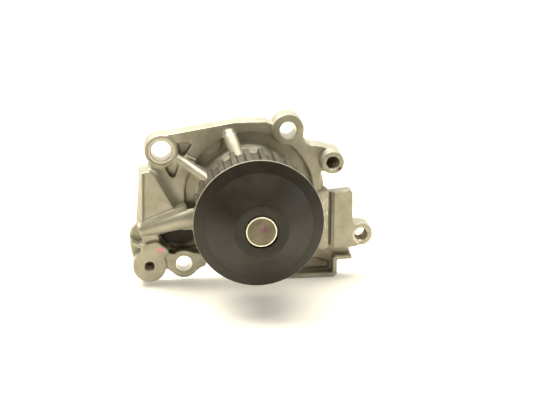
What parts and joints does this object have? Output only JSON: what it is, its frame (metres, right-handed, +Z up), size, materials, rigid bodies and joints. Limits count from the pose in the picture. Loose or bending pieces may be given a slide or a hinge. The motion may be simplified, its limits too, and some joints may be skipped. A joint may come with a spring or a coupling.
{
  "type": "automotive water pump",
  "caption": "Belt-driven engine coolant pump: cast housing with bolt bosses, shaft bearing, face seal, impeller, toothed pulley and coned black flange.",
  "frame": {"origin": "where the shaft's axis meets the plane of the mounting face that seats on the engine block", "axes": "+Y along the shaft towards the engine and the impeller, -Y towards the pulley's flange, +Z up, +X to the right seen from the pulley"},
  "size_m": [0.1331, 0.0881, 0.0947],
  "materials": {
    "cast_aluminium": "sand-grey die-cast aluminium, fine cast grain, machined seats",
    "bearing_steel": "ground bearing steel",
    "ball_steel": "polished chrome steel balls",
    "shaft_steel": "ground steel, satin end face with a bright chamfer",
    "sintered_steel": "sintered steel teeth, steam-treated grey-brown",
    "black_flange": "pressed steel in satin black",
    "plated_steel": "zinc-plated pressed steel",
    "spring_steel": "bright spring wire",
    "cage_polyamide": "natural polyamide",
    "seal_rubber": "black nitrile rubber",
    "carbon": "resin-bonded carbon, dull black",
    "ceramic": "lapped alumina ceramic",
    "impeller_plastic": "glass-filled black plastic"
  },
  "bodies": {
    "housing": {"pump_housing": "cast_aluminium", "housing_seal_ring": "seal_rubber", "bearing_outer_ring": "bearing_steel", "front_bearing_seal": "seal_rubber", "rear_bearing_seal": "seal_rubber", "seal_cup": "plated_steel", "seal_bellows": "seal_rubber", "seal_spring": "spring_steel"},
    "rotor": {"pump_shaft": "shaft_steel", "drive_pulley": "sintered_steel", "front_flange": "black_flange", "impeller": "impeller_plastic", "ceramic_seat_ring": "ceramic", "seat_rubber_cup": "seal_rubber"},
    "front_ball_row": {"front_ball_cage": "cage_polyamide", "front_ball_1": "ball_steel", "front_ball_2": "ball_steel", "front_ball_3": "ball_steel", "front_ball_4": "ball_steel", "front_ball_5": "ball_steel", "front_ball_6": "ball_steel", "front_ball_7": "ball_steel"},
    "rear_ball_row": {"rear_ball_cage": "cage_polyamide", "rear_ball_1": "ball_steel", "rear_ball_2": "ball_steel", "rear_ball_3": "ball_steel", "rear_ball_4": "ball_steel", "rear_ball_5": "ball_steel", "rear_ball_6": "ball_steel", "rear_ball_7": "ball_steel"},
    "seal_face": {"carbon_face_ring": "carbon", "seal_spring_seat": "plated_steel"}
  },
  "joints": [
    {"name": "shaft_spin", "type": "hinge", "parent": "housing", "child": "rotor", "pos_m": [0, 0, 0], "axis": [0, 1, 0], "continuous": true},
    {"name": "front_ball_row_spin", "type": "hinge", "parent": "housing", "child": "front_ball_row", "pos_m": [0, -0.0415, 0], "axis": [0, 1, 0], "continuous": true},
    {"name": "rear_ball_row_spin", "type": "hinge", "parent": "housing", "child": "rear_ball_row", "pos_m": [0, -0.0235, 0], "axis": [0, 1, 0], "continuous": true},
    {"name": "seal_face_slide", "type": "slide", "parent": "housing", "child": "seal_face", "axis": [0, -1, 0], "range_m": [0, 0.0015], "stiffness_N_per_m": 5000, "springref_m": -0.01, "deforming": ["seal_spring", "seal_bellows"]}
  ],
  "couplings": [
    {"joint": "front_ball_row_spin", "follows": "shaft_spin", "ratio": 0.35},
    {"joint": "rear_ball_row_spin", "follows": "shaft_spin", "ratio": 0.35}
  ]
}
